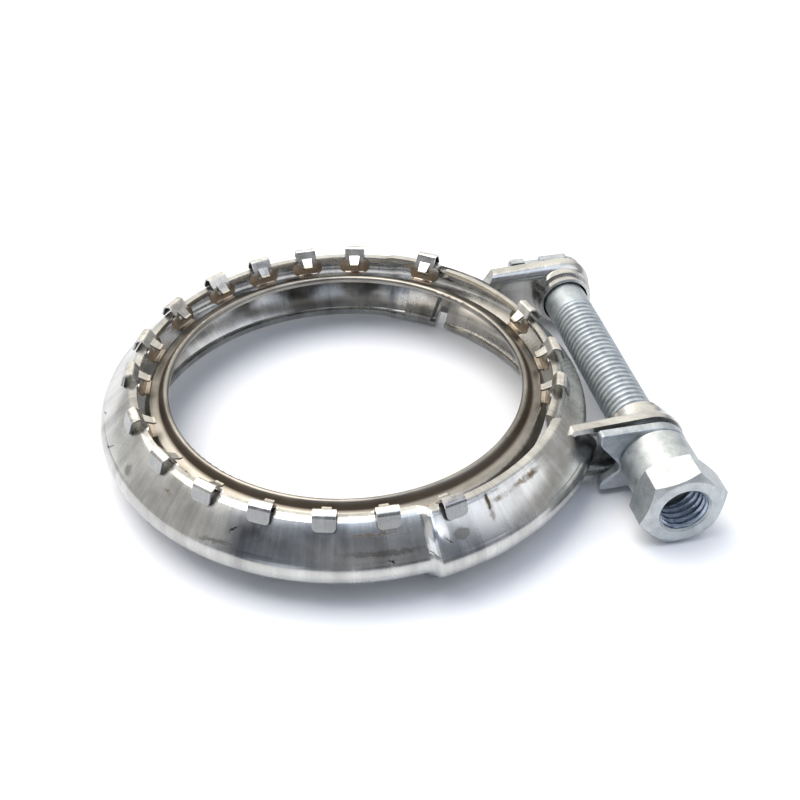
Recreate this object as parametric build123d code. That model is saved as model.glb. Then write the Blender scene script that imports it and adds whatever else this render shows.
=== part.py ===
"""Exhaust strap clamp for an 89 mm pipe joint: a V-channel band of one folded steel strip with a drawn lug
at each end, a bridge segment across the gap, a formed gasket held by spring clips, and an M12 bolt.

Millimetres. The origin is the centre of the clamp, on the pipe axis and in the band's middle plane.
+Z is the pipe axis, towards the side that shows the gasket and clips. +X points from the pipe axis
to the middle of the bolt, and the bolt lies along Y with its nut at -Y.
"""

import os
from math import asin, atan2, cos, degrees, hypot, pi, radians, sin, sqrt, tan

from build123d import *

# Gasket: thin sheet with a folded rim round the pipe, two cones and a folded outer hem.
gasket_sheet = 0.5
gasket_bore_radius = 44.45
gasket_rim_height = 7.8
gasket_rim_fold = 1.5
gasket_rim_bend = 0.3
gasket_steep_width = 2.25
gasket_steep_drop = 1.8
gasket_shallow_width = 2.6
gasket_shallow_drop = 0.5
gasket_skirt_width = 1.1
gasket_skirt_drop = 2.7
gasket_crease_radius = gasket_bore_radius + gasket_steep_width
gasket_crease_height = gasket_rim_height - gasket_steep_drop
gasket_hem_radius = gasket_crease_radius + gasket_shallow_width
gasket_hem_height = gasket_crease_height - gasket_shallow_drop
gasket_skirt_radius = gasket_hem_radius + gasket_skirt_width
gasket_skirt_height = gasket_hem_height - gasket_skirt_drop

# Band: one strip of stainless sheet, rolled to a V-channel that is open towards the pipe.
band_sheet = 1.5
band_half_height = 9.8
band_lip_gap = 1.6
band_lip_width = 1.8
band_lip_bend = 2.2
band_flange_slope = 43.6
band_web_flat = 0.185
band_web_bend = 4.0
band_lip_radius = gasket_skirt_radius + band_lip_gap
band_slope = radians(band_flange_slope)
band_web_half_height = band_web_flat + band_web_bend * tan((pi / 2 - band_slope) / 2)
band_flange_width = (band_half_height - band_web_half_height) / tan(band_slope)
band_web_radius = band_lip_radius + band_lip_width + band_flange_width

# Both ends of the band step outwards, to pass over the bridge.
front_step_lift = 1.9
front_step_growth = 0.45
front_step_angle = 276.0
back_step_angle = 67.2
step_arc = 3.0
step_slices = 6
back_lip_end_angle = 50.2
trimmed_lip_width = 4.5

# Bolt, which passes just outside the band.
bolt_diameter = 11.8
bolt_gap = 0.7
bolt_engagement = 11.1
bolt_end_chamfer = 1.0
bolt_head_reach = 1.6
bolt_head_height = 2.4
bolt_head_round = 0.8
bolt_distance = band_web_radius + bolt_gap + bolt_diameter / 2

# Lugs: a dish drawn into each band end, its hollow side away from the gap, with a collar round the bolt.
front_collar_y = -25.5
back_collar_y = 29.8
lug_sheet = 1.5
lug_bore_clearance = 0.6
lug_collar_wall = 0.9
lug_collar_step = 0.7
lug_collar_step_depth = 2.4
lug_floor_depth = 4.1
lug_wall_height = 4.3
lug_margin = 1.1
lug_root_half_height = 8.3
lug_root_reach = 22.4
lug_root_slope = 2.6
lug_root_drop = 3.8
lug_bend = 3.0
lug_collar_bore = bolt_diameter / 2 + lug_bore_clearance
lug_end_radius = lug_collar_bore + lug_collar_wall + lug_collar_step + lug_margin
lug_root_x = bolt_distance - lug_root_reach
lug_rim_depth = lug_floor_depth + lug_wall_height

# Bridge: a second channel segment across the gap, welded inside the back end.
bridge_sheet = 1.2
bridge_drop = 1.1
bridge_clearance = 0.1
bridge_start_angle = 60.5
bridge_lip_gap = 1.2
bridge_tongue_angle = 25.0
bridge_tongue_half_height = 6.6
bridge_shoulder_reach = 3.4
bridge_shoulder_bend = 1.2
bridge_notch_angle = 49.4
bridge_notch_width = 4.4
bridge_notch_depth = 5.4
bridge_notch_radius = band_lip_radius + bridge_notch_depth
front_end_y = front_collar_y - lug_floor_depth - lug_sheet / 2
front_lip_radius = band_lip_radius + front_step_lift
bridge_lip_end_angle = degrees(asin((front_end_y + bridge_lip_gap) / front_lip_radius))
bridge_end_angle = bridge_lip_end_angle - bridge_tongue_angle

# Spring clips over the lip: where each one stands, counted from +X.
clip_angles = (
    53.7, 76.4, 91.4, 105.8, 120.7, 137.7, 154.7, 170.0, 189.6,
    207.0, 223.5, 238.9, 254.2, 269.0, 284.3, 340.3, 356.0, 14.8,
)
clip_sheet = 0.45
clip_width = 5.3
clip_clearance = 0.1
clip_fold_bend = 0.8
clip_shoulder_bend = 1.3
clip_leg_bend = 2.0
clip_foot_bend = 0.3
clip_corner = 1.1
clip_tip_drop = 1.55
clip_shoulder_reach = 1.15
clip_shoulder_rise = 1.95
clip_fold_reach = 0.9
clip_fold_rise = 2.55
clip_leg_gap = 0.75
clip_foot = 1.1
clip_ear_width = 1.6
clip_ear_gap = 0.15
clip_ear_low = 0.3
clip_ear_corner = 1.7
clip_ear_splay = 12.0
clip_ear_skin = 0.02
clip_tongue_width = 2.9
clip_tongue_end_width = 2.2
clip_tongue_rise = 0.6
clip_tongue_reach = 2.1
clip_tongue_drop = 1.4
clip_tongue_hook = 0.6
clip_window_sill = 1.4
clip_window_gap = 0.1

# Saddle plates and nut.
saddle_half_height = 8.8
saddle_end_reach = 2.9
saddle_reach = 14.3
saddle_low_reach = 13.1
saddle_prong_height = 3.0
saddle_low_prong_height = 2.3
saddle_notch_reach = 7.6
saddle_notch_z = -2.5
saddle_notch_round = 2.4
saddle_prong_round = 1.9
saddle_corner = 0.9
saddle_edge_round = 0.5
saddle_bore_clearance = 0.5
saddle_boss_clearance = 0.12
saddle_boss_inset = 0.5
saddle_boss_chamfer = 0.8
front_saddle_thickness = 2.4
front_saddle_gap = 1.6
back_saddle_thickness = 2.2
back_saddle_gap = 0.3
back_tab_rise = 0.15
back_slot_depth = 0.8
back_tab_round = 0.5
back_tab_inner_reach = 13.8
back_tab_inner_width = 4.1
back_tab_outer_reach = 5.3
back_tab_outer_width = 8.0
saddle_end_radius = bolt_diameter / 2 + saddle_end_reach
nut_sleeve_wall = 2.8
nut_sleeve_length = 11.0
nut_hex_length = 8.8
nut_hex_step = 0.75
nut_hex_turn = 16.0
nut_mouth_depth = 0.55
nut_end_chamfer = 0.55
nut_bevel_angle = 30.0
nut_bevel_inset = 0.5
nut_bore_clearance = 0.05
nut_bore_radius = bolt_diameter / 2 + nut_bore_clearance
nut_sleeve_radius = nut_bore_radius + nut_sleeve_wall
nut_across_flats = 2 * (nut_sleeve_radius + nut_hex_step)
nut_seat_y = front_collar_y - lug_rim_depth - front_saddle_gap - front_saddle_thickness


def sheet_face(points, bends, sheet):
    """A folded sheet's section in the XZ plane, from one line of points and the radius of each bend."""
    line = FilletPolyline(*points, radius=bends)
    return Plane.XZ * make_face(offset(line, sheet, side=Side.LEFT).edges())


def channel_points(lift, growth):
    """Outer corners of the V-channel's section, moved outwards by a lift and grown all round."""
    lip_corner = band_lip_radius + band_lip_width
    lip_end = band_lip_radius + lift
    lip_turn = lip_corner + lift + growth * tan(band_slope / 2)
    web = band_web_radius + lift + growth
    web_half = band_web_half_height + growth * tan((pi / 2 - band_slope) / 2)
    half = band_half_height + growth
    return [
        (lip_end, -half),
        (lip_turn, -half),
        (web, -web_half),
        (web, web_half),
        (lip_turn, half),
        (lip_end, half),
    ]


def channel_section(lift, growth, sheet):
    """The V-channel's section in the XZ plane."""
    lip, web = band_lip_bend + growth, band_web_bend + growth
    return sheet_face(channel_points(lift, growth), [lip, web, web, lip], sheet)


def channel_inside(lift, growth, sheet):
    """Everything within the V-channel's inner surface, as a face in the XZ plane that reaches the axis."""
    inner = channel_points(lift, growth - sheet)
    lip, web = band_lip_bend + growth - sheet, band_web_bend + growth - sheet
    line = FilletPolyline(*inner, radius=[lip, web, web, lip])
    half = inner[0][1]
    closing = Polyline(inner[-1], (0, -half), (0, half), inner[0])
    return Plane.XZ * make_face(line.edges() + closing.edges())


def around(section, start, end):
    """Revolves an XZ section about the pipe axis from one angle to another, in degrees."""
    return Rot(0, 0, start) * revolve(section, Axis.Z, revolution_arc=end - start)


def step_ramp(angle_low, angle_high, lift, growth):
    """The smooth step between the band's plain arc, at angle_low, and a raised end, at angle_high."""
    slices = []
    for i in range(step_slices + 1):
        share = (1 - cos(pi * i / step_slices)) / 2
        angle = angle_low + (angle_high - angle_low) * i / step_slices
        slices.append(Rot(0, 0, angle) * channel_section(lift * share, growth * share, band_sheet))
    return loft([piece.face() for piece in slices], ruled=True)


def half_space(keep_y, direction):
    """A block that fills everything on one side of a plane across Y."""
    size = 4 * band_web_radius
    return Pos(0, keep_y + direction * size / 2, 0) * Box(size, size, size)


def lug_outline(shrink):
    """The D-shaped outline of a lug, round about the bolt, with its corners cut off towards the band."""
    radius, half_height = lug_end_radius - shrink, lug_root_half_height - shrink
    diagonal = hypot(lug_root_slope, lug_root_drop)
    slope = lug_root_slope + shrink * (diagonal - lug_root_slope) / lug_root_drop
    corner = lug_root_x + slope
    low = half_height - slope * lug_root_drop / lug_root_slope
    reach = hypot(bolt_distance - corner, half_height)
    tilt = asin(radius / reach) - atan2(half_height, bolt_distance - corner)
    top = (bolt_distance - radius * sin(tilt), radius * cos(tilt))
    half = [top, (corner, half_height), (lug_root_x, low)]
    line = Polyline(*half, *[(x, -z) for x, z in reversed(half)])
    end = ThreePointArc(line @ 1, (bolt_distance + radius, 0), top)
    return Plane.XZ * make_face(line.edges() + end.edges())


def lug_dish(shrink, floor_depth, bend):
    """The solid shape of the lug's dish, with its rim at -Y and a rounded floor towards the gap."""
    block = Pos(0, -lug_rim_depth, 0) * extrude(lug_outline(shrink), -(lug_rim_depth - floor_depth))
    floor = block.faces().sort_by(Axis.Y)[-1]
    edges = floor.edges().filter_by(lambda e: e.center().X > lug_root_x + lug_root_slope + shrink)
    return fillet(edges, bend)


def lug():
    """A lug in its own place: the collar's tip at Y = 0, the gap towards +Y and the dish behind it."""
    outer = lug_dish(0, lug_floor_depth, lug_bend)
    inner = lug_dish(lug_sheet, lug_floor_depth + lug_sheet, lug_bend - lug_sheet)
    axis = Pos(bolt_distance, 0, 0) * Rot(90, 0, 0)
    tip_radius = lug_collar_bore + lug_collar_wall
    floor = lug_floor_depth + 0.9 * lug_sheet
    collar = axis * Cylinder(tip_radius, floor, align=(Align.CENTER, Align.CENTER, Align.MIN))
    foot_length = floor - lug_collar_step_depth
    foot = Cylinder(tip_radius + lug_collar_step, foot_length, align=(Align.CENTER, Align.CENTER, Align.MIN))
    foot = axis * Pos(0, 0, lug_collar_step_depth) * foot
    bore = axis * Cylinder(lug_collar_bore, 4 * lug_rim_depth)
    return outer - inner + collar + foot - bore


def back_step_growth():
    """How far the back end grows to hold the bridge."""
    return band_sheet - bridge_drop + bridge_clearance


def clamp_band():
    """The whole band: its plain arc, the two steps, the raised ends and their lugs."""
    back_lift = back_step_growth()
    front_end = front_step_angle + step_arc
    back_end = back_step_angle - step_arc
    plain = around(channel_section(0, 0, band_sheet), back_step_angle, front_step_angle)
    front_ramp = step_ramp(front_step_angle, front_end, front_step_lift, front_step_growth)
    back_ramp = step_ramp(back_step_angle, back_end, 0, back_lift)
    back_floor = back_collar_y + lug_floor_depth
    front = around(channel_section(front_step_lift, front_step_growth, band_sheet), front_end, 350)
    front = front & half_space(front_end_y, -1)
    back = around(channel_section(0, back_lift, band_sheet), 10, back_end)
    back = back & half_space(back_floor + lug_sheet / 2, 1)
    trimmed = Plane.XZ * Pos(band_lip_radius, 0) * Rectangle(2 * trimmed_lip_width, 3 * band_half_height)
    back = back - around(trimmed, 0, back_lip_end_angle)
    front_lug = Pos(0, front_collar_y, 0) * lug()
    front_lug = front_lug - around(channel_inside(front_step_lift, front_step_growth, band_sheet), 300, 360)
    back_lug = Pos(0, back_collar_y, 0) * mirror(lug(), about=Plane.XZ)
    back_lug = back_lug - around(channel_inside(0, back_lift, band_sheet), 0, 60)
    return plain + front_ramp + back_ramp + front + back + front_lug + back_lug


def bridge_section():
    """The bridge's section in the open gap: its lips stand as high as the band's, on steep shoulders."""
    web, turn = channel_points(0, -bridge_drop)[3:5]
    radius = band_lip_radius + bridge_shoulder_reach
    shoulder = (radius, turn[1] - (radius - turn[0]) * tan(band_slope))
    upper = [web, shoulder] + channel_points(0, 0)[4:]
    lower = [(x, -z) for x, z in reversed(upper)]
    web_bend = band_web_bend - bridge_drop
    bends = [band_lip_bend, bridge_shoulder_bend, web_bend, web_bend, bridge_shoulder_bend, band_lip_bend]
    return sheet_face(lower + upper, bends, bridge_sheet)


def bridge_insert():
    """The channel segment across the gap, with its relief notches and the tongue under the front end."""
    section = channel_section(0, -bridge_drop, bridge_sheet)
    body = around(bridge_section(), bridge_lip_end_angle, bridge_notch_angle)
    held = around(section, bridge_notch_angle, bridge_start_angle)
    tongue_cut = Pos(band_web_radius, 0) * Rectangle(band_web_radius, 2 * bridge_tongue_half_height)
    tongue = around(section & Plane.XZ * tongue_cut, bridge_end_angle, bridge_lip_end_angle)
    reach = band_web_radius - band_lip_radius
    slot = Box(2 * (bridge_notch_radius - band_lip_radius), bridge_notch_width, 40)
    slot = Pos(band_lip_radius, 0, 0) * slot
    notch_end = Pos(bridge_notch_radius, 0, 0) * Cylinder(bridge_notch_width / 2, 40)
    web_guard = Cylinder(band_web_radius + reach, 2 * band_web_half_height)
    notch = Rot(0, 0, bridge_notch_angle) * (slot + notch_end) - web_guard
    return (body - notch) + (held - notch) + tongue


def gasket_ring():
    """The formed gasket: rim fold, steep cone, shallow cone, rounded hem and skirt."""
    inner = gasket_bore_radius + gasket_sheet
    fall = gasket_rim_height - gasket_crease_height + gasket_sheet
    fold = (pi / 2 - atan2(fall, gasket_crease_radius - inner)) / 2
    rim = gasket_rim_height - gasket_sheet - gasket_rim_bend + gasket_rim_bend / tan(fold)
    points = [
        (inner, gasket_rim_height - gasket_rim_fold),
        (inner, rim),
        (gasket_crease_radius, gasket_crease_height - gasket_sheet),
        (gasket_hem_radius, gasket_hem_height - gasket_sheet),
        (gasket_skirt_radius, gasket_skirt_height),
    ]
    section = sheet_face(points, [gasket_rim_bend, 1.0, 0.4], gasket_sheet)
    return revolve(section, Axis.Z)


def channel_place(angle):
    """The lift and the growth of the channel whose lip shows at an angle."""
    angle = angle % 360
    if back_lip_end_angle < angle < back_step_angle:
        return 0, back_step_growth()
    if front_step_angle < angle < 360 + bridge_lip_end_angle:
        return front_step_lift, front_step_growth
    return 0, 0


def clip_line(lift, growth):
    """Corners of the clip's outer surface, from the outer leg's tip over the lip to the gasket."""
    turn_x, top = channel_points(lift, growth)[4]
    foot = gasket_hem_height + clip_clearance + clip_sheet
    tip = turn_x + clip_tip_drop / tan(band_slope) + (clip_sheet + clip_clearance) / sin(band_slope)
    return [
        (tip, top - clip_tip_drop),
        (turn_x + clip_shoulder_reach, top + clip_shoulder_rise),
        (band_lip_radius + lift + clip_fold_reach, top + clip_fold_rise),
        (band_lip_radius + lift - clip_leg_gap, top),
        (gasket_skirt_radius, foot),
        (gasket_skirt_radius - clip_foot, foot),
    ]


def clip_strip(lift, growth):
    """The clip's folded strip: outer leg on the slope, cap over the lip, inner leg and foot."""
    points = clip_line(lift, growth)
    bends = [clip_shoulder_bend, clip_fold_bend, clip_leg_bend, clip_foot_bend]
    strip = extrude(sheet_face(points, bends, clip_sheet), clip_width / 2, both=True)
    tip = [e for e in strip.edges() if abs(e.length - clip_sheet) < 0.001 and e.center().X > points[1][0]]
    return fillet(tip, clip_corner)


def clip_ears(lift, growth):
    """The pair of rounded ears at the sides of the inner leg, bent away from the pipe."""
    leg, foot = clip_line(lift, growth)[3:5]
    lean = degrees(atan2(leg[0] - foot[0], leg[1] - foot[1]))
    half, splay = clip_width / 2, radians(clip_ear_splay)
    tip_x, tip_y = clip_ear_width * sin(splay), half + clip_ear_width * cos(splay)
    line = FilletPolyline((tip_x, tip_y), (0, half), (0, -half), (tip_x, -tip_y), radius=clip_leg_bend)
    height = leg[1] - foot[1] - clip_ear_gap + clip_ear_low
    plan = make_face(offset(line, clip_sheet - 2 * clip_ear_skin, side=Side.LEFT).edges())
    wings = Pos(clip_ear_skin, 0, -clip_ear_low) * extrude(plan, height)
    front = RectangleRounded(2 * tip_y, height, clip_ear_corner)
    front = Pos(0, 0, height / 2 - clip_ear_low) * extrude(Plane.YZ * front, clip_width, both=True)
    return Pos(foot[0], 0, foot[1]) * Rot(0, lean, 0) * (wings & front)


def clip_tongue(lift, growth):
    """The tapered tongue that is lanced from the inner leg and points towards the pipe."""
    fold, leg = clip_line(lift, growth)[2:4]
    rise = clip_tongue_rise
    root = (leg[0] + (fold[0] - leg[0]) * rise / (fold[1] - leg[1]), leg[1] + rise)
    slope = clip_tongue_drop / clip_tongue_reach
    bend = (root[0] - clip_tongue_reach, root[1] - clip_tongue_drop)
    start = (root[0] + clip_sheet / 2, root[1] + slope * clip_sheet / 2)
    points = [start, bend, (bend[0] - clip_tongue_hook, bend[1])]
    strip = extrude(sheet_face(points, [clip_sheet], clip_sheet), clip_tongue_width / 2, both=True)
    wide, narrow = clip_tongue_width / 2, clip_tongue_end_width / 2
    tip = points[2][0]
    plan = Polyline((start[0], wide), (tip, narrow), (tip, -narrow), (start[0], -wide), close=True)
    plan = extrude(make_face(plan.edges()), band_half_height, both=True)
    return strip & Pos(0, 0, band_half_height) * plan


def clip(lift, growth):
    """One spring clip over the lip at angle 0, with its ears and the tongue lanced from its inner leg."""
    leg, foot = clip_line(lift, growth)[3:5]
    width = clip_tongue_width + 2 * clip_window_gap
    height = leg[1] + clip_tongue_rise - foot[1] - clip_window_sill
    window = Box(4 * clip_sheet, width, height, align=(Align.CENTER, Align.CENTER, Align.MIN))
    window = Pos(leg[0], 0, foot[1] + clip_window_sill) * window
    return clip_strip(lift, growth) + clip_ears(lift, growth) - window + clip_tongue(lift, growth)


def saddle_plate():
    """A saddle plate round about the bolt, with a hooked notch between its prongs, as an XZ face."""
    notch = (bolt_distance - saddle_notch_reach, saddle_notch_z)
    prong_x = bolt_distance - saddle_reach
    low_x = bolt_distance - saddle_low_reach
    points = [
        (bolt_distance, saddle_half_height),
        (prong_x, saddle_half_height),
        (prong_x, saddle_half_height - saddle_prong_height),
        notch,
        (low_x, saddle_low_prong_height - saddle_half_height),
        (low_x, -saddle_half_height),
        (bolt_distance, -saddle_half_height),
    ]
    face = make_face(Polyline(*points, close=True).edges())
    bottom = [v for v in face.vertices() if abs(v.X - notch[0]) < 0.001]
    face = fillet(bottom, saddle_notch_round)
    tip_x, edge = max(prong_x, low_x) + 0.001, saddle_half_height - 0.001
    inner = [v for v in face.vertices() if v.X < tip_x and abs(v.Y) < edge]
    face = fillet(inner, saddle_prong_round)
    outer = [v for v in face.vertices() if v.X < tip_x and abs(v.Y) > edge]
    end = Pos(bolt_distance, 0) * Ellipse(saddle_end_radius, saddle_half_height)
    return fillet(outer, saddle_corner) + end


def saddle(gap, thickness):
    """A saddle with its boss seated in a lug, in the lug's own place: the bolt along Y, the gap at +Y."""
    plate_front = -lug_rim_depth - gap
    boss_seat = -lug_floor_depth - lug_sheet - saddle_boss_clearance
    radius = lug_end_radius - lug_sheet - saddle_boss_inset
    plate = Pos(0, plate_front, 0) * extrude(Plane.XZ * saddle_plate(), thickness)
    outer = plate.faces().sort_by(Axis.Y)[0]
    plate = fillet(outer.edges(), saddle_edge_round)
    axis = Pos(bolt_distance, 0, 0) * Rot(90, 0, 0)
    boss = Cylinder(radius, boss_seat - plate_front, align=(Align.CENTER, Align.CENTER, Align.MIN))
    boss = axis * Pos(0, 0, -boss_seat) * chamfer(boss.edges().sort_by(Axis.Z)[0], saddle_boss_chamfer)
    bore = axis * Cylinder(bolt_diameter / 2 + saddle_bore_clearance, 8 * lug_rim_depth)
    return plate + boss - bore


def front_saddle():
    """The bearing plate between the front lug and the nut."""
    return Pos(0, front_collar_y, 0) * saddle(front_saddle_gap, front_saddle_thickness)


def back_saddle():
    """The anchor plate of the bolt's head, with two low tabs on its upper edge and a slot between them."""
    plate = mirror(saddle(back_saddle_gap, back_saddle_thickness), about=Plane.XZ)
    seat = lug_rim_depth + back_saddle_gap
    top = saddle_half_height + back_tab_rise
    low_middle = (Align.MIN, Align.MIN, Align.MAX)
    tabs = []
    inner_tab = (back_tab_inner_reach, back_tab_inner_width)
    outer_tab = (back_tab_outer_reach, back_tab_outer_width)
    for reach, width in (inner_tab, outer_tab):
        tab = Box(width, back_saddle_thickness, back_tab_rise + back_slot_depth, align=low_middle)
        tab = fillet(tab.edges().filter_by(Axis.Y).sort_by(Axis.Z)[-2:], back_tab_round)
        tabs.append(Pos(bolt_distance - reach, seat, top) * tab)
    slot_start = back_tab_inner_reach + back_tab_rise
    slot = Box(slot_start + back_tab_outer_width, 20, back_slot_depth, align=low_middle)
    slot = Pos(bolt_distance - slot_start, seat - 10, saddle_half_height) * slot
    return Pos(0, back_collar_y, 0) * (plate - slot + tabs[0] + tabs[1])


def bolt():
    """The bolt, from its low head behind the back saddle to its chamfered end inside the nut."""
    head_seat = back_collar_y + lug_rim_depth + back_saddle_gap + back_saddle_thickness
    axis = Pos(bolt_distance, head_seat, 0) * Rot(90, 0, 0)
    radius = bolt_diameter / 2
    head = Cylinder(radius + bolt_head_reach, bolt_head_height, align=(Align.CENTER, Align.CENTER, Align.MAX))
    head = fillet(head.edges().sort_by(Axis.Z)[0], bolt_head_round)
    length = head_seat - nut_seat_y + bolt_engagement
    shank = Cylinder(radius, length, align=(Align.CENTER, Align.CENTER, Align.MIN))
    shank = chamfer(shank.edges().sort_by(Axis.Z)[-1], bolt_end_chamfer)
    return axis * (head + shank)


def nut_hexagon():
    """The nut's hexagon on the XY plane, with its corners beveled at both ends."""
    corner, flat = nut_across_flats / sqrt(3), nut_across_flats / 2
    hexagon = extrude(RegularPolygon(corner, 6, rotation=nut_hex_turn), nut_hex_length)
    start = flat - nut_bevel_inset
    rise = nut_hex_length / tan(radians(nut_bevel_angle))
    cone = Cone(start, start + rise, nut_hex_length, align=(Align.CENTER, Align.CENTER, Align.MIN))
    return hexagon & cone & Pos(0, 0, nut_hex_length) * Rot(180, 0, 0) * cone


def collar_nut():
    """The nut: a round sleeve on the saddle and a hexagon with beveled corners behind it."""
    sleeve = Cylinder(nut_sleeve_radius, nut_sleeve_length, align=(Align.CENTER, Align.CENTER, Align.MIN))
    sleeve = chamfer(sleeve.edges().sort_by(Axis.Z)[0], nut_end_chamfer)
    bore = Cylinder(nut_bore_radius, 3 * (nut_sleeve_length + nut_hex_length))
    body = sleeve + Pos(0, 0, nut_sleeve_length) * nut_hexagon() - bore
    rims = body.edges().filter_by(GeomType.CIRCLE)
    rims = [e for e in rims if abs(e.radius - nut_bore_radius) < 0.001]
    body = chamfer(rims, nut_mouth_depth)
    return Pos(bolt_distance, nut_seat_y, 0) * Rot(90, 0, 0) * body


def nodes():
    """Every piece by its node name."""
    pieces = {
        "clamp_band": clamp_band(),
        "bridge_insert": bridge_insert(),
        "gasket_ring": gasket_ring(),
        "bolt": bolt(),
        "front_saddle": front_saddle(),
        "back_saddle": back_saddle(),
        "collar_nut": collar_nut(),
    }
    for number, angle in enumerate(clip_angles, 1):
        pieces[f"clip_{number:02d}"] = Rot(0, 0, angle) * clip(*channel_place(angle))
    return pieces


if __name__ == "__main__":
    os.makedirs("parts", exist_ok=True)
    for name, piece in nodes().items():
        export_step(piece, f"parts/{name}.step")
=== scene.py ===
"""Finishes and studio for the exhaust strap clamp: soiled stainless strip, spring clips and zinc-plated bolt.

The add-on's operators dress the clamp's own CAD pieces, build the threads, and set up the stage and
the camera.
"""

from math import cos, pi, radians, sin

import bpy
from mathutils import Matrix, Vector


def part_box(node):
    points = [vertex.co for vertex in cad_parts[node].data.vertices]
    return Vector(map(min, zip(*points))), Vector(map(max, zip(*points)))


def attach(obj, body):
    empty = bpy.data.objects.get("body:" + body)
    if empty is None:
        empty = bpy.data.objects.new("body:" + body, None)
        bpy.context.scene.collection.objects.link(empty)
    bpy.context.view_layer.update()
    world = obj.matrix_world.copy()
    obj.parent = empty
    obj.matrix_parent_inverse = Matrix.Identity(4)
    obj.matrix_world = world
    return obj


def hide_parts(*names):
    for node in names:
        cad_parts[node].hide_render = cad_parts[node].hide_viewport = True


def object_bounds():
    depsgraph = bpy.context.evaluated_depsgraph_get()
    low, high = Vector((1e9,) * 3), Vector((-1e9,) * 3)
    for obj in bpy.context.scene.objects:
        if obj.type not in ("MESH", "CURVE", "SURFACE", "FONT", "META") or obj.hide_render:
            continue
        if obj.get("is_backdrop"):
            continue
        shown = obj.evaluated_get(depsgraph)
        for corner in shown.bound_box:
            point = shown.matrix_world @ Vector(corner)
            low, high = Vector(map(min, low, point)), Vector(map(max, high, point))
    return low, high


bl_info = {
    "name": "Exhaust strap clamp",
    "version": (1, 0, 0),
    "blender": (4, 5, 0),
    "location": "View3D > Sidebar > Clamp",
    "description": "Dresses the strap clamp and builds its studio",
    "category": "Object",
}

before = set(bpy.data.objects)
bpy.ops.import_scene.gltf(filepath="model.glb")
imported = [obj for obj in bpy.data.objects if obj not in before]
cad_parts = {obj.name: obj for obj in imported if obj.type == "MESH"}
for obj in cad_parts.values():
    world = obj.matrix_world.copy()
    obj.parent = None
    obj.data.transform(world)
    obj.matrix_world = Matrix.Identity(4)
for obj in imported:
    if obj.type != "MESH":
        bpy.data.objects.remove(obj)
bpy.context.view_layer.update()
MM = 0.001

# The bolt's and the nut's own boxes give the threads their places.
BOLT_LOW, BOLT_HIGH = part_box("bolt")
NUT_LOW, NUT_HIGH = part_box("collar_nut")
BOLT_X = (BOLT_LOW[0] + BOLT_HIGH[0]) / 2
BOLT_HEAD_RADIUS = (BOLT_HIGH[0] - BOLT_LOW[0]) / 2
BAND_RADIUS = 62.0 * MM

# Where the camera stands, and which way it looks, in the clamp's frame.
CAMERA_PLACE_MM = (-43.0, -252.2, 207.4)
CAMERA_FORWARD = (0.1711, 0.7572, -0.6305)
CAMERA_SENSOR_MM = 36.0

# The flange's lower and upper edge, how far it is crowned, and how far the bead stands up from it.
FLANGE_LOW_MM, FLANGE_TOP_MM = 3.2, 9.8
FLANGE_CROWN_MM = 0.40
BEAD_RISE_MM = 0.75
# Where the gasket's two cones meet, and how far the painted shade and soot reach from there.
CREASE_RADIUS_MM, CREASE_REACH_MM = 46.6, 1.3
# The fineness of the turned pieces: facets round the axis, and rings to each turn of the thread.
TURNED_FACETS = 72
RINGS_PER_TURN = 14
HEAD_EDGE_STEPS = 6
FLOOR_HALF = 3.0
AMBIENT = 0.88

STEPS = ("band", "gasket", "clips", "bolt", "nut", "saddles", "stage")


def linear(hex_colour):
    """An sRGB hex colour as a linear RGBA tuple."""
    digits = hex_colour.lstrip("#")
    values = [int(digits[i : i + 2], 16) / 255 for i in (0, 2, 4)]
    return tuple(v / 12.92 if v <= 0.04045 else ((v + 0.055) / 1.055) ** 2.4 for v in values) + (1.0,)


def per_mm(size_mm):
    """The texture scale that gives features of a size in millimetres."""
    return 1 / (size_mm * MM)


def add(tree, kind, *values, stops=(), **settings):
    """Adds a shader node. Values fill its sockets in order, and settings name its options or its sockets.

    A value is a node, whose first live output is linked, a socket, or a plain value.
    """
    node = tree.nodes.new("ShaderNode" + kind)
    for name in [name for name in settings if hasattr(node, name)]:
        setattr(node, name, settings.pop(name))
    wanted = list(zip([socket for socket in node.inputs if socket.enabled], values))
    wanted += [(node.inputs[name.replace("_", " ")], value) for name, value in settings.items()]
    for socket, value in wanted:
        if isinstance(value, bpy.types.Node):
            value = next(output for output in value.outputs if output.enabled)
        if isinstance(value, bpy.types.NodeSocket):
            tree.links.new(value, socket)
        else:
            socket.default_value = value
    for number, (place, colour) in enumerate(stops):
        elements = node.color_ramp.elements
        stop = elements[number] if number < 2 else elements.new(place)
        stop.position, stop.color = place, colour
    return node


def new_material(name):
    """An empty node material and its tree."""
    material = bpy.data.materials.new(name)
    material.use_nodes = True
    material.node_tree.nodes.clear()
    return material, material.node_tree


def finish(tree, shader):
    """Sends a shader to the material's surface."""
    add(tree, "OutputMaterial", shader)


def ring_places(tree):
    """Object coordinates, the rim's point at the same angle and height, and the radius and height."""
    place = add(tree, "TexCoord").outputs["Object"]
    apart = add(tree, "SeparateXYZ", place)
    flat = add(tree, "CombineXYZ", apart.outputs["X"], apart.outputs["Y"])
    radius = add(tree, "VectorMath", flat, operation="LENGTH")
    rim = add(tree, "VectorMath", flat, operation="NORMALIZE")
    rim = add(tree, "VectorMath", rim, operation="SCALE", Scale=BAND_RADIUS)
    rim = add(tree, "SeparateXYZ", rim)
    across = add(tree, "CombineXYZ", rim.outputs["X"], rim.outputs["Y"], apart.outputs["Z"])
    return place, across, radius, apart.outputs["Z"]


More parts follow.
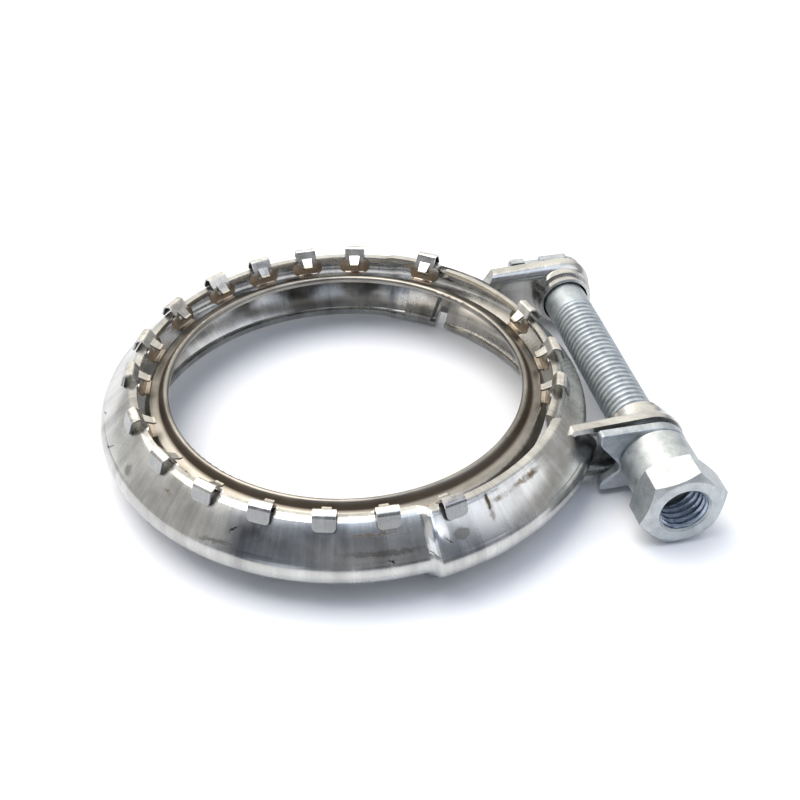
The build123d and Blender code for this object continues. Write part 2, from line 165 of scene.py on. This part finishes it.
def lines_across(tree, across, spacing_mm, length_mm, detail=2.0):
    """Noise drawn out across the band: fine lines a spacing apart along its arc."""
    scale = [per_mm(spacing_mm), per_mm(spacing_mm), per_mm(length_mm)]
    stretched = add(tree, "VectorMath", across, scale, operation="MULTIPLY")
    return add(tree, "TexNoise", stretched, Scale=1.0, Detail=detail)


def blot(tree, place, azimuth, radius_mm, height_mm, length_mm, width_mm, tilt, softness):
    """A mask that is 1 within a soft-edged oval on the band, with its length along the arc but for a tilt."""
    turn = radians(azimuth)
    centre = [radius_mm * MM * cos(turn), radius_mm * MM * sin(turn), height_mm * MM]
    local = add(
        tree, "Mapping", place, vector_type="TEXTURE", Location=centre,
        Rotation=[0.0, radians(tilt), turn + pi / 2],
        Scale=[length_mm * MM / 2, 4 * MM, width_mm * MM / 2],
    )
    reach = add(tree, "VectorMath", local, operation="LENGTH")
    return add(tree, "MapRange", reach, 1.0, 1.0 - softness, 0.0, 1.0, interpolation_type="SMOOTHSTEP")


# Marks on the band, each by azimuth, radius, height, length, width, tilt and softness, in degrees and mm.
# Grey rubs where the forming tool took the shine off the strip; the long one at -93° is a painted reflection,
# a darker band across the front of the web.
BAND_RUBS_AND_REFLECTION = (
    (-75.9, 60.4, 5.8, 5.0, 2.4, 4.0, 0.35),
    (-93.0, 59.6, 4.3, 24.0, 1.2, 1.0, 0.5),
    (-160.5, 59.4, 4.4, 4.2, 2.6, 20.0, 0.6),
    (-130.0, 60.5, 3.4, 12.0, 1.0, -6.0, 0.6),
)
# Dark streaks along the flange's fold: brown soil, except the three from -55° to -67.5°, which are painted
# shadow and reflection beside a clip.
BAND_SOIL_AND_SHADE = (
    (-55.0, 57.6, 8.6, 13.0, 1.7, 0.0, 0.7),
    (-63.0, 57.8, 8.4, 9.0, 1.3, 0.0, 0.8),
    (-67.5, 58.6, 7.6, 2.4, 6.5, 12.0, 0.7),
    (-94.0, 56.4, 7.2, 17.0, 0.9, 0.0, 0.6),
    (-146.0, 57.0, 6.6, 5.0, 1.2, 10.0, 0.8),
)
# Short dark scratches and nicks.
BAND_NICKS = (
    (-67.3, 57.6, 8.6, 1.0, 4.6, 10.0, 0.5),
    (-82.5, 60.2, 3.3, 3.4, 0.35, 24.0, 0.4),
    (-79.0, 60.9, 5.4, 2.4, 0.35, 38.0, 0.4),
    (-91.5, 60.6, 3.0, 2.2, 0.35, 30.0, 0.4),
    (176.2, 60.5, 3.4, 2.6, 0.4, -24.0, 0.4),
    (-171.2, 60.5, 3.4, 3.2, 0.45, -28.0, 0.4),
    (-126.5, 58.4, 6.0, 2.6, 0.4, -30.0, 0.4),
)
# The raised and stretched bead across the band at its front step, which is also lightened as a painted
# highlight.
BAND_BEAD_AND_HIGHLIGHT = ((-81.2, 59.0, 2.5, 6.6, 20.0, 0.0, 0.95),)


def marks(tree, place, rows):
    """One mask for several marks."""
    whole = None
    for row in rows:
        mask = blot(tree, place, *row)
        whole = mask if whole is None else add(tree, "Math", whole, mask, operation="MAXIMUM")
    return whole


def strip_steel(name, colours, roughness, soil_share, dent_mm, line_mm, marked=False, spun=False):
    """Stainless strip: satin from cold rolling, with fine lines across it and shallow waves from the press.

    The lines blur each reflection along the band, and the waves make it wander. Real rolling lines are under
    0.1 mm apart, and are drawn coarser so that they show.
    """
    light, dark, soil_and_shade = [tuple(colour) for colour in colours]
    material, tree = new_material(name)
    place, across, radius, height = ring_places(tree)
    cloud = add(tree, "TexNoise", place, Scale=per_mm(11.0), Detail=4.0, Roughness=0.6)
    if spun:
        # Turned on a former, so its lines run round the pipe.
        sweep = add(tree, "Math", radius, height, operation="ADD")
        rim = add(tree, "SeparateXYZ", across)
        across = add(tree, "CombineXYZ", rim.outputs["X"], rim.outputs["Y"], sweep)
        smears = lines_across(tree, across, 22.0, 1.2)
        lines = lines_across(tree, across, 12.0, 0.3)
    else:
        smears = lines_across(tree, across, 4.0, 26.0)
        lines = lines_across(tree, across, 0.55, 16.0, detail=3.0)
    grain = add(tree, "TexNoise", place, Scale=per_mm(0.4), Detail=2.0)
    smeared = add(tree, "Math", smears, 0.4, operation="MULTIPLY")
    tone = add(tree, "Math", cloud, 0.6, smeared, operation="MULTIPLY_ADD")
    tone = add(tree, "Math", lines, 0.15, tone, operation="MULTIPLY_ADD")
    colour = add(tree, "ValToRGB", tone, stops=[(0.40, dark), (0.66, light)])
    spots = add(tree, "TexNoise", place, Scale=per_mm(5.0), Detail=7.0, Roughness=0.72, Distortion=0.5)
    dirt_and_shade = add(tree, "MapRange", spots, 1.0 - soil_share, 1.12 - soil_share, 0.0, 0.75)
    if spun:
        # Painted shade with soot: the crease between the two cones is darkened.
        off = add(tree, "Math", radius, CREASE_RADIUS_MM * MM, operation="SUBTRACT")
        off = add(tree, "Math", off, operation="ABSOLUTE")
        crease_shade_and_soot = add(
            tree, "MapRange", off, CREASE_REACH_MM * MM, 0.2 * MM, 0.0, 0.85, interpolation_type="SMOOTHSTEP",
        )
        dirt_and_shade = add(tree, "Math", dirt_and_shade, crease_shade_and_soot, operation="MAXIMUM")
    rough = add(tree, "MapRange", cloud, 0.3, 0.7, roughness - 0.06, roughness + 0.09)
    rough = add(tree, "Math", lines, 0.06, rough, operation="MULTIPLY_ADD")
    bead_and_highlight = None
    if marked:
        wobble = add(tree, "TexNoise", place, Scale=per_mm(1.3), Detail=4.0, Roughness=0.7).outputs["Color"]
        ragged = add(tree, "VectorMath", wobble, [0.5] * 3, operation="SUBTRACT")
        ragged = add(tree, "VectorMath", ragged, [1.6 * MM] * 3, place, operation="MULTIPLY_ADD")
        rubs_and_reflection = marks(tree, ragged, BAND_RUBS_AND_REFLECTION)
        nicks = marks(tree, ragged, BAND_NICKS)
        # Soil streaks, three of them painted shadow and reflection beside a clip.
        soil_and_shade_streaks = marks(tree, ragged, BAND_SOIL_AND_SHADE)
        soil_and_shade_streaks = add(tree, "Math", soil_and_shade_streaks, add(tree, "MapRange", spots, 0.35, 0.6), operation="MULTIPLY")
        dirt_and_shade = add(tree, "Math", dirt_and_shade, soil_and_shade_streaks, operation="MAXIMUM")
        # The grey rubs include a painted reflection, the long dark band at -93°.
        rubs_and_reflection_share = add(tree, "Math", rubs_and_reflection, 0.65, operation="MULTIPLY")
        colour = add(tree, "Mix", rubs_and_reflection_share, colour, linear("#5E5A55"), data_type="RGBA")
        colour = add(tree, "Mix", nicks, colour, linear("#1E1C1B"), data_type="RGBA")
        rough = add(tree, "Math", rubs_and_reflection, 0.15, rough, operation="MULTIPLY_ADD")
        bead_and_highlight = marks(tree, place, BAND_BEAD_AND_HIGHLIGHT)
        rough = add(tree, "Math", bead_and_highlight, -0.14, rough, operation="MULTIPLY_ADD")
        # Painted highlight: the bead is lightened to near white, standing in for the highlight that it
        # catches.
        colour = add(tree, "Mix", bead_and_highlight, colour, linear("#EDF1F7"), data_type="RGBA")
    # Soil darkens the colour, and so does painted shade: in the gasket's crease, and beside a clip on the
    # band.
    soiled_and_shaded = add(tree, "Mix", dirt_and_shade, colour, soil_and_shade, data_type="RGBA")
    rough = add(tree, "Math", dirt_and_shade, 0.25, rough, operation="MULTIPLY_ADD", use_clamp=True)
    wave = add(tree, "TexNoise", place, Scale=per_mm(14.0), Detail=1.0)
    normal = add(tree, "Bump", Height=wave, Strength=1.0, Distance=dent_mm * MM)
    normal = add(tree, "Bump", Height=lines, Strength=1.0, Distance=line_mm * MM, Normal=normal)
    normal = add(tree, "Bump", Height=grain, Strength=1.0, Distance=0.003 * MM, Normal=normal)
    if bead_and_highlight:
        # The press leaves the flange slightly crowned, and the bead stands up from it.
        up = add(tree, "MapRange", height, FLANGE_LOW_MM * MM, FLANGE_TOP_MM * MM, -1.0, 1.0)
        crown = add(tree, "Math", add(tree, "Math", up, up, operation="MULTIPLY"), -1.0, operation="MULTIPLY")
        normal = add(tree, "Bump", Height=crown, Strength=1.0, Distance=FLANGE_CROWN_MM * MM, Normal=normal)
        normal = add(tree, "Bump", Height=bead_and_highlight, Strength=1.0, Distance=BEAD_RISE_MM * MM, Normal=normal)
    finish(tree, add(
        tree, "BsdfPrincipled", Base_Color=soiled_and_shaded, Metallic=1.0, Roughness=rough, Normal=normal,
    ))
    return material


def clip_steel(name, colours, roughness):
    """Spring steel strip, sheared and folded: satin and pale, with a straw heat tint low on the inner leg and
    painted shade on the outer leg.

    Its rolling lines are drawn 0.3 mm apart, coarser than the real ones, so that they show.
    """
    light, dark, heat = [tuple(colour) for colour in colours]
    material, tree = new_material(name)
    place, across, radius, height = ring_places(tree)
    cloud = add(tree, "TexNoise", place, Scale=per_mm(3.0), Detail=4.0, Roughness=0.65)
    lines = lines_across(tree, across, 0.3, 8.0)
    tone = add(tree, "Math", lines, 0.3, operation="MULTIPLY")
    tone = add(tree, "Math", cloud, 0.7, tone, operation="MULTIPLY_ADD")
    colour = add(tree, "ValToRGB", tone, stops=[(0.36, dark), (0.60, light)])
    inside = add(tree, "MapRange", radius, 52.4 * MM, 51.4 * MM, interpolation_type="SMOOTHSTEP")
    low = add(tree, "MapRange", height, 9.6 * MM, 8.4 * MM, interpolation_type="SMOOTHSTEP")
    tinted = add(tree, "Math", inside, low, operation="MULTIPLY")
    patchy = add(tree, "MapRange", cloud, 0.3, 0.6, 0.35, 1.0)
    tinted = add(tree, "Math", tinted, patchy, operation="MULTIPLY")
    # Painted shade: the outer leg of every clip is darkened towards blue-grey, standing in for its reflection
    # of the shaded floor.
    outer_leg_shade = add(
        tree, "MapRange", radius, 54.4 * MM, 55.4 * MM, 0.0, 0.55, interpolation_type="SMOOTHSTEP",
    )
    colour = add(tree, "Mix", outer_leg_shade, colour, linear("#70767E"), data_type="RGBA")
    colour = add(tree, "Mix", tinted, colour, heat, data_type="RGBA")
    rough = add(tree, "MapRange", cloud, 0.3, 0.7, roughness - 0.06, roughness + 0.10)
    normal = add(tree, "Bump", Height=cloud, Strength=1.0, Distance=0.012 * MM)
    normal = add(tree, "Bump", Height=lines, Strength=1.0, Distance=0.002 * MM, Normal=normal)
    finish(tree, add(
        tree, "BsdfPrincipled", Base_Color=colour, Metallic=1.0, Roughness=rough, Normal=normal,
    ))
    return material


def zinc_plate(name, light, dark, roughness):
    """Zinc plate on turned and pressed steel: cool, matt and faintly mottled, with small dark pits.

    The crystals are too fine to see, so their grain is drawn 0.35 mm wide.
    """
    material, tree = new_material(name)
    place = add(tree, "TexCoord").outputs["Object"]
    cloud = add(tree, "TexNoise", place, Scale=per_mm(3.0), Detail=5.0, Roughness=0.7)
    grain = add(tree, "TexNoise", place, Scale=per_mm(0.35), Detail=3.0, Roughness=0.7)
    tone = add(tree, "Math", grain, 0.4, operation="MULTIPLY")
    tone = add(tree, "Math", cloud, 0.6, tone, operation="MULTIPLY_ADD")
    colour = add(tree, "ValToRGB", tone, stops=[(0.32, tuple(dark)), (0.62, tuple(light))])
    cells = add(tree, "TexVoronoi", place, Scale=per_mm(1.6))
    pits = add(tree, "MapRange", cells, 0.10, 0.05)
    some = add(tree, "MapRange", cloud, 0.52, 0.60)
    pits = add(tree, "Math", pits, some, operation="MULTIPLY")
    pits = add(tree, "Math", pits, 0.6, operation="MULTIPLY")
    pitted = add(tree, "Mix", pits, colour, linear("#4C5054"), data_type="RGBA")
    rough = add(tree, "MapRange", tone, 0.3, 0.7, roughness - 0.05, roughness + 0.10)
    normal = add(tree, "Bump", Height=tone, Strength=1.0, Distance=0.02 * MM)
    finish(tree, add(
        tree, "BsdfPrincipled", Base_Color=pitted, Metallic=1.0, Roughness=rough, Normal=normal,
    ))
    return material


def paint(names, material):
    """Gives CAD pieces a finish."""
    for name in names:
        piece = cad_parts[name]
        piece.data.materials.clear()
        piece.data.materials.append(material)


def turned_piece(name, stations, closed, material, body):
    """A piece turned about the bolt's axis: rings of points in a tube, closed by end caps or on itself.

    Each station is a place along Y and a function that gives the radius at an angle.
    """
    around = TURNED_FACETS
    points = []
    for along, radius_at in stations:
        for step in range(around):
            angle = 2 * pi * step / around
            radius = radius_at(angle)
            points.append((BOLT_X + radius * sin(angle), along, radius * cos(angle)))
    faces = []
    count = len(stations)
    for ring in range(count if closed else count - 1):
        low, high = ring * around, (ring + 1) % count * around
        for step in range(around):
            after = (step + 1) % around
            faces.append((low + step, low + after, high + after, high + step))
    if not closed:
        faces.append(tuple(reversed(range(around))))
        faces.append(tuple(range((count - 1) * around, count * around)))
    mesh = bpy.data.meshes.new(name)
    mesh.from_pydata(points, [], faces)
    mesh.materials.append(material)
    for polygon in mesh.polygons:
        polygon.use_smooth = True
    mesh.set_sharp_from_angle(angle=radians(35))
    made = bpy.data.objects.new(name, mesh)
    bpy.context.scene.collection.objects.link(made)
    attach(made, body)
    return made


def ridge(along, angle, pitch):
    """How far the right-handed thread rises at a place: 0 in the groove, 1 on the crest."""
    phase = (along / pitch - angle / (2 * pi)) % 1.0
    height = abs(phase - 0.5) * 2
    flank = min(max((height - 0.10) / 0.55, 0.0), 1.0)
    return flank * flank * (3 - 2 * flank)


def fade(value, start, end):
    """A smooth 0 to 1 between two places."""
    share = min(max((value - start) / (end - start), 0.0), 1.0)
    return share * share * (3 - 2 * share)


class ClampFinishes(bpy.types.PropertyGroup):
    """Colours and gloss of the clamp's finishes"""

    strip_light: bpy.props.FloatVectorProperty(
        name="Strip, clean", description="The band's strip where it is clean", subtype="COLOR", size=4,
        min=0, max=1, default=linear("#CBCBC8"),
    )
    strip_dark: bpy.props.FloatVectorProperty(
        name="Strip, smeared", description="The band's strip where it is smeared", subtype="COLOR", size=4,
        min=0, max=1, default=linear("#9E9D9B"),
    )
    # The band's soil colour also paints shadow and reflection beside a clip.
    strip_soil_and_shade: bpy.props.FloatVectorProperty(
        name="Strip, soiled", description="Soil on the band", subtype="COLOR", size=4,
        min=0, max=1, default=linear("#6A5C48"),
    )
    bridge_light: bpy.props.FloatVectorProperty(
        name="Bridge, clean", description="The bridge's strip where it is clean", subtype="COLOR", size=4,
        min=0, max=1, default=linear("#C6C4BE"),
    )
    bridge_dark: bpy.props.FloatVectorProperty(
        name="Bridge, smeared", description="The bridge's strip where it is smeared", subtype="COLOR", size=4,
        min=0, max=1, default=linear("#96938D"),
    )
    bridge_soil: bpy.props.FloatVectorProperty(
        name="Bridge, soiled", description="Soil on the bridge", subtype="COLOR", size=4,
        min=0, max=1, default=linear("#6E5F4A"),
    )
    gasket_light: bpy.props.FloatVectorProperty(
        name="Gasket, clean", description="The gasket's sheet where it is clean", subtype="COLOR", size=4,
        min=0, max=1, default=linear("#98958F"),
    )
    gasket_dark: bpy.props.FloatVectorProperty(
        name="Gasket, dull", description="The gasket's sheet where it is dull", subtype="COLOR", size=4,
        min=0, max=1, default=linear("#6A6762"),
    )
    # The gasket's soot colour also paints shade along its crease.
    gasket_soot_and_shade: bpy.props.FloatVectorProperty(
        name="Gasket, sooty", description="Soot on the gasket", subtype="COLOR", size=4,
        min=0, max=1, default=linear("#544A3E"),
    )
    clip_light: bpy.props.FloatVectorProperty(
        name="Clips, bright", description="The clips' bright steel", subtype="COLOR", size=4,
        min=0, max=1, default=linear("#DDDBD5"),
    )
    clip_dark: bpy.props.FloatVectorProperty(
        name="Clips, dull", description="The clips' dull steel", subtype="COLOR", size=4,
        min=0, max=1, default=linear("#B5B2AD"),
    )
    clip_heat: bpy.props.FloatVectorProperty(
        name="Clips, heat tint", description="Straw tint on the clips' inner legs", subtype="COLOR", size=4,
        min=0, max=1, default=linear("#AEA090"),
    )
    strip_roughness: bpy.props.FloatProperty(
        name="Strip roughness", description="How satin the band is", subtype="FACTOR",
        min=0, max=1, default=0.20,
    )
    gasket_roughness: bpy.props.FloatProperty(
        name="Gasket roughness", description="How satin the gasket is", subtype="FACTOR",
        min=0, max=1, default=0.3,
    )
    clip_roughness: bpy.props.FloatProperty(
        name="Clip roughness", description="How satin the clips are", subtype="FACTOR",
        min=0, max=1, default=0.27,
    )
    zinc_roughness: bpy.props.FloatProperty(
        name="Zinc roughness", description="How matt the zinc is", subtype="FACTOR",
        min=0, max=1, default=0.50,
    )


class ClampThread(bpy.types.PropertyGroup):
    """The bolt's thread"""

    pitch: bpy.props.FloatProperty(
        name="Pitch", description="Distance from one turn to the next", subtype="DISTANCE", unit="LENGTH",
        default=1.75 * MM, min=0.5 * MM, max=4 * MM,
    )
    crest_radius: bpy.props.FloatProperty(
        name="Crest radius", description="The bolt's outside radius", subtype="DISTANCE", unit="LENGTH",
        default=5.9 * MM, min=2 * MM, max=5.9 * MM,
    )
    groove_radius: bpy.props.FloatProperty(
        name="Groove radius", description="The radius at the bottom of the thread", subtype="DISTANCE",
        unit="LENGTH", default=5.25 * MM, min=2 * MM, max=5.9 * MM,
    )
    thread_end: bpy.props.FloatProperty(
        name="Thread end", description="Where the thread runs out towards the head, along Y",
        subtype="DISTANCE", unit="LENGTH", default=22.4 * MM, min=-20 * MM, max=38 * MM,
    )


class ClampStage(bpy.types.PropertyGroup):
    """Lamps and lens"""

    key_power: bpy.props.FloatProperty(
        name="Key lamp", description="Power of the overhead soft box", subtype="POWER", unit="POWER",
        default=10.0, min=0,
    )
    fill_power: bpy.props.FloatProperty(
        name="Fill lamp", description="Power of the side soft box", subtype="POWER", unit="POWER",
        default=1.5, min=0,
    )
    lens: bpy.props.FloatProperty(
        name="Lens", description="The camera's focal length in mm", subtype="DISTANCE_CAMERA", unit="CAMERA",
        default=57.78, min=20, max=200,
    )
    floor_colour: bpy.props.FloatVectorProperty(
        name="Floor", description="Colour of the floor", subtype="COLOR", size=4, min=0, max=1,
        default=linear("#E9ECF1"),
    )


class CLAMP_OT_band(bpy.types.Operator):
    """Finish the band and its bridge as soiled stainless strip, with painted shade, highlight and reflection
    on the band
    """

    bl_idname = "clamp.band"
    bl_label = "Band and bridge"

    def execute(self, context):
        finishes = context.scene.clamp_finishes
        band = strip_steel(
            "Cold-rolled stainless strip",
            (finishes.strip_light, finishes.strip_dark, finishes.strip_soil_and_shade),
            finishes.strip_roughness, soil_share=0.24, dent_mm=0.35, line_mm=0.004, marked=True,
        )
        bridge = strip_steel(
            "Cold-rolled stainless bridge",
            (finishes.bridge_light, finishes.bridge_dark, finishes.bridge_soil),
            finishes.strip_roughness + 0.03, soil_share=0.28, dent_mm=0.35, line_mm=0.006,
        )
        paint(["clamp_band"], band)
        paint(["bridge_insert"], bridge)
        return {"FINISHED"}


class CLAMP_OT_gasket(bpy.types.Operator):
    """Finish the gasket as satin stainless sheet"""

    bl_idname = "clamp.gasket"
    bl_label = "Gasket"

    def execute(self, context):
        finishes = context.scene.clamp_finishes
        sheet = strip_steel(
            "Spun stainless gasket sheet",
            (finishes.gasket_light, finishes.gasket_dark, finishes.gasket_soot_and_shade),
            finishes.gasket_roughness, soil_share=0.28, dent_mm=0.2, line_mm=0.004, spun=True,
        )
        paint(["gasket_ring"], sheet)
        return {"FINISHED"}


class CLAMP_OT_clips(bpy.types.Operator):
    """Finish the spring clips"""

    bl_idname = "clamp.clips"
    bl_label = "Spring clips"

    def execute(self, context):
        finishes = context.scene.clamp_finishes
        steel = clip_steel(
            "Satin spring steel", (finishes.clip_light, finishes.clip_dark, finishes.clip_heat),
            finishes.clip_roughness,
        )
        paint([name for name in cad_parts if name.startswith("clip_")], steel)
        return {"FINISHED"}


class CLAMP_OT_bolt(bpy.types.Operator):
    """Build the bolt with its thread and its low round head"""

    bl_idname = "clamp.bolt"
    bl_label = "Bolt"

    def execute(self, context):
        thread = context.scene.clamp_thread
        zinc = zinc_plate(
            "Zinc plate on the bolt", linear("#C6CDD1"), linear("#98A1A7"),
            context.scene.clamp_finishes.zinc_roughness + 0.02,
        )
        tip, chamfer, head, round_edge = BOLT_LOW[1], 1.0 * MM, 2.4 * MM, 0.8 * MM
        seat = BOLT_HIGH[1] - head
        crest, groove = thread.crest_radius, thread.groove_radius

        def threaded(along):
            share = 1 - fade(along, thread.thread_end - 1.2 * MM, thread.thread_end)
            limit = crest - chamfer + max(along - tip, 0.0)

            def radius_at(angle):
                cut = (crest - groove) * (1 - ridge(along, angle, thread.pitch)) * share
                return min(crest - cut, limit)

            return radius_at

        step = thread.pitch / RINGS_PER_TURN
        count = int((thread.thread_end - tip) / step) + 1
        stations = [(tip + step * i, threaded(tip + step * i)) for i in range(count + 1)]
        stations.append((seat, lambda angle: crest))
        stations.append((seat, lambda angle: BOLT_HEAD_RADIUS))
        for i in range(HEAD_EDGE_STEPS + 1):
            turn = pi / 2 * i / HEAD_EDGE_STEPS
            reach = BOLT_HEAD_RADIUS - round_edge * (1 - cos(turn))
            stations.append((BOLT_HIGH[1] - round_edge * (1 - sin(turn)), lambda angle, reach=reach: reach))
        bolt = turned_piece("threaded_bolt", stations, False, zinc, "clamp")
        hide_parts("bolt")
        return {"FINISHED"}


class CLAMP_OT_nut(bpy.types.Operator):
    """Finish the collar nut and cut the thread that shows in its mouth"""

    bl_idname = "clamp.nut"
    bl_label = "Collar nut"

    def execute(self, context):
        thread = context.scene.clamp_thread
        zinc = zinc_plate(
            "Zinc plate on the nut", linear("#CFD4D5"), linear("#9EA4A7"),
            context.scene.clamp_finishes.zinc_roughness,
        )
        cut = zinc_plate("Zinc plate in the thread", linear("#C3D0E0"), linear("#7A8494"), 0.28)
        paint(["collar_nut"], zinc)
        bore = thread.crest_radius + 0.05 * MM
        low, high = NUT_LOW[1] + 0.6 * MM, BOLT_LOW[1] - 0.5 * MM

        def threaded(along):
            share = fade(along, low, low + 0.8 * MM)

            def radius_at(angle):
                rise = ridge(along + thread.pitch / 2, angle, thread.pitch)
                return bore - 0.02 * MM - (bore - thread.groove_radius - 0.12 * MM) * rise * share

            return radius_at

        step = thread.pitch / RINGS_PER_TURN
        count = int((high - low) / step)
        stations = [(low + step * i, threaded(low + step * i)) for i in range(count + 1)]
        stations.append((stations[-1][0], lambda angle: bore + 0.15 * MM))
        stations.append((low, lambda angle: bore + 0.15 * MM))
        turned_piece("nut_thread", stations, True, cut, "nut")
        return {"FINISHED"}


class CLAMP_OT_saddles(bpy.types.Operator):
    """Finish the two saddle plates"""

    bl_idname = "clamp.saddles"
    bl_label = "Saddle plates"

    def execute(self, context):
        zinc = zinc_plate(
            "Zinc plate on the saddles", linear("#C4CACF"), linear("#8E959C"),
            context.scene.clamp_finishes.zinc_roughness - 0.04,
        )
        paint(["front_saddle", "back_saddle"], zinc)
        return {"FINISHED"}


def sky_patch(tree, direction, toward, inner, outer):
    """A mask over the studio's sky: 1 within an angle of a direction, in degrees, and 0 beyond another."""
    aim = Vector(toward).normalized()
    lean = add(tree, "VectorMath", direction, list(aim), operation="DOT_PRODUCT")
    edge, full = cos(radians(outer)), cos(radians(inner))
    return add(tree, "MapRange", lean, edge, full, interpolation_type="SMOOTHSTEP")


# The studio that the metal mirrors. Each patch has a direction, the angle within which it is full and the
# angle where it ends, in degrees, a colour and a brightness. A later patch covers an earlier one.
STUDIO = (
    ("white backdrop", (-0.10, 1.0, 0.30), 30, 58, "#FDFCFA", 1.05),
    ("left wall", (-1.0, 0.25, 0.30), 22, 46, "#FDFCFA", 0.85),
    ("right wall", (1.0, 0.05, 0.40), 18, 40, "#FDFBF8", 0.6),
    ("window behind the camera", (0.0, -0.92, 0.38), 12, 22, "#F7F7F5", 0.5),
    ("upper backdrop", (0.17, 0.757, 0.63), 20, 46, "#FFFBF2", 1.5),
    ("overhead soft box", (0.02, -0.22, 0.975), 11, 18, "#DCE9FF", 2.6),
    ("left soft box", (-0.40, -0.12, 0.91), 8, 14, "#DCE9FF", 2.2),
    ("dim ceiling, left", (-0.66, -0.50, 0.56), 8, 17, "#858A95", 0.9),
    ("dim ceiling, middle", (-0.28, -0.72, 0.63), 9, 17, "#9A9DA4", 1.0),
    ("dim ceiling, right", (0.15, -0.74, 0.65), 9, 17, "#9A9DA4", 1.0),
    ("dark beam, left", (-0.587, -0.41, 0.697), 5, 11, "#3A404C", 0.8),
    ("dark beam, middle", (-0.24, -0.54, 0.81), 4, 9, "#1A2030", 0.5),
    ("dark beam, right", (0.12, -0.57, 0.81), 4, 9, "#1A2030", 0.5),
    ("low soft box, left", (-0.60, -0.78, 0.20), 6, 12, "#E6F0FF", 1.2),
    ("dark skirting behind the camera", (0.10, -1.0, 0.03), 8, 22, "#767E8C", 0.5),
)


# Each lamp's name, place, size and colour.
LAMPS = (
    ("key", (-0.28, 0.20, 0.88), 0.8, "#FFF6EA"),
    ("fill", (0.6, -0.25, 0.6), 0.6, "#F4F7FF"),
)


class CLAMP_OT_stage(bpy.types.Operator):
    """Build the white floor, the studio, the lamps and the camera"""

    bl_idname = "clamp.stage"
    bl_label = "Stage"

    def execute(self, context):
        scene, stage = context.scene, context.scene.clamp_stage
        low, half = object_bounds()[0][2], FLOOR_HALF
        mesh = bpy.data.meshes.new("floor")
        corners = [(-half, -half, low), (half, -half, low), (half, half, low), (-half, half, low)]
        mesh.from_pydata(corners, [], [(0, 1, 2, 3)])
        floor = bpy.data.objects.new("floor", mesh)
        scene.collection.objects.link(floor)
        floor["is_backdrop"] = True
        # White card, which is matt: it takes the clamp's soft shadow, and the metal mirrors it.
        card, tree = new_material("White card")
        finish(tree, add(tree, "BsdfDiffuse", tuple(stage.floor_colour)))
        mesh.materials.append(card)

        scene.view_settings.view_transform = "Standard"
        world = bpy.data.worlds.new("Studio")
        scene.world = world
        world.use_nodes = True
        tree = world.node_tree
        tree.nodes.clear()
        direction = add(tree, "TexCoord").outputs["Generated"]
        height = add(tree, "SeparateXYZ", direction).outputs["Z"]
        stops = [(0.0, linear("#8E93A0")), (1.0, linear("#C9D2E2")), (0.35, linear("#7C828E"))]
        sky = add(tree, "ValToRGB", height, stops=stops)
        for _, toward, inner, outer, colour, bright in STUDIO:
            mask = sky_patch(tree, direction, toward, inner, outer)
            shade = [v * bright for v in linear(colour)[:3]] + [1.0]
            sky = add(tree, "Mix", mask, sky, shade, data_type="RGBA", clamp_factor=True)
        ambient = add(tree, "Background", sky, AMBIENT)
        white = add(tree, "Background", (1.0, 1.0, 1.0, 1.0), 1.0)
        seen = add(tree, "LightPath").outputs["Is Camera Ray"]
        add(tree, "OutputWorld", add(tree, "MixShader", seen, ambient, white))

        powers = {"key": stage.key_power, "fill": stage.fill_power}
        for name, place, size, colour in LAMPS:
            light = bpy.data.lights.new(name, "AREA")
            light.shape = "RECTANGLE"
            light.size = light.size_y = size
            light.energy = powers[name]
            light.color = linear(colour)[:3]
            lamp = bpy.data.objects.new(name, light)
            lamp.location = place
            lamp.rotation_euler = (-Vector(place)).to_track_quat("-Z", "Y").to_euler()
            scene.collection.objects.link(lamp)
        camera_data = bpy.data.cameras.new("camera")
        camera_data.lens = stage.lens
        camera_data.sensor_width = CAMERA_SENSOR_MM
        camera_data.clip_start = 0.01
        camera = bpy.data.objects.new("camera", camera_data)
        camera.location = [v * MM for v in CAMERA_PLACE_MM]
        camera.rotation_euler = Vector(CAMERA_FORWARD).to_track_quat("-Z", "Y").to_euler()
        scene.collection.objects.link(camera)
        scene.camera = camera
        return {"FINISHED"}


class CLAMP_PT_sidebar(bpy.types.Panel):
    """The clamp's operators and settings"""

    bl_idname = "CLAMP_PT_sidebar"
    bl_label = "Exhaust strap clamp"
    bl_space_type = "VIEW_3D"
    bl_region_type = "UI"
    bl_category = "Clamp"

    def draw(self, context):
        for step in STEPS:
            self.layout.operator("clamp." + step)
        for group in (context.scene.clamp_finishes, context.scene.clamp_thread, context.scene.clamp_stage):
            box = self.layout.box()
            for name in group.__annotations__:
                box.prop(group, name)


GROUPS = {"clamp_finishes": ClampFinishes, "clamp_thread": ClampThread, "clamp_stage": ClampStage}
CLASSES = (
    *GROUPS.values(),
    CLAMP_OT_band,
    CLAMP_OT_gasket,
    CLAMP_OT_clips,
    CLAMP_OT_bolt,
    CLAMP_OT_nut,
    CLAMP_OT_saddles,
    CLAMP_OT_stage,
    CLAMP_PT_sidebar,
)


def register():
    for item in CLASSES:
        bpy.utils.register_class(item)
    for name, group in GROUPS.items():
        setattr(bpy.types.Scene, name, bpy.props.PointerProperty(type=group))


def unregister():
    for name in GROUPS:
        delattr(bpy.types.Scene, name)
    for item in reversed(CLASSES):
        bpy.utils.unregister_class(item)


def main():
    """Registers the add-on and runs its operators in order."""
    register()
    for step in STEPS:
        getattr(bpy.ops.clamp, step)()


if __name__ == "__main__":
    main()
